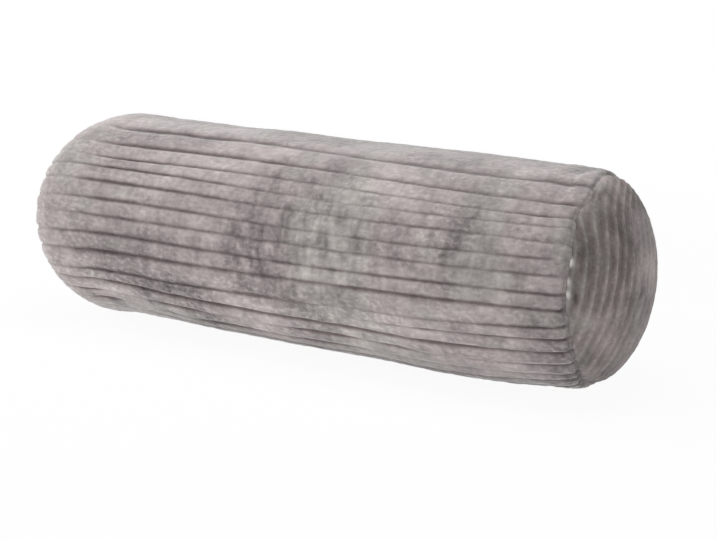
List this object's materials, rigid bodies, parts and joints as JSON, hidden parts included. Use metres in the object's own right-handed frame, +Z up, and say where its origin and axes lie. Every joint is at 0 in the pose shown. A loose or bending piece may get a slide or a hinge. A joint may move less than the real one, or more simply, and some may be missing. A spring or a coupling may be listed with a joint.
{
  "type": "neck roll pillow",
  "caption": "Round neck roll pillow in wide-rib plush cord: a stuffed tube with a domed, sewn-in panel at each end, lying on its slightly flattened side.",
  "frame": {"origin": "under the middle of the pillow, on the surface it lies on", "axes": "+X along the roll, +Z up, -Y to the front, where the end seams stand out furthest"},
  "size_m": [0.465, 0.1488, 0.1464],
  "materials": {
    "tube_cord": "wide-rib plush cord, ribs lengthwise, taupe grey with brushed lighter and darker patches",
    "end_cord": "the same plush cord, ribs up and down"
  },
  "bodies": {
    "root": {"filled_tube": "tube_cord", "end_panel_right": "end_cord", "end_panel_left": "end_cord"}
  },
  "joints": []
}
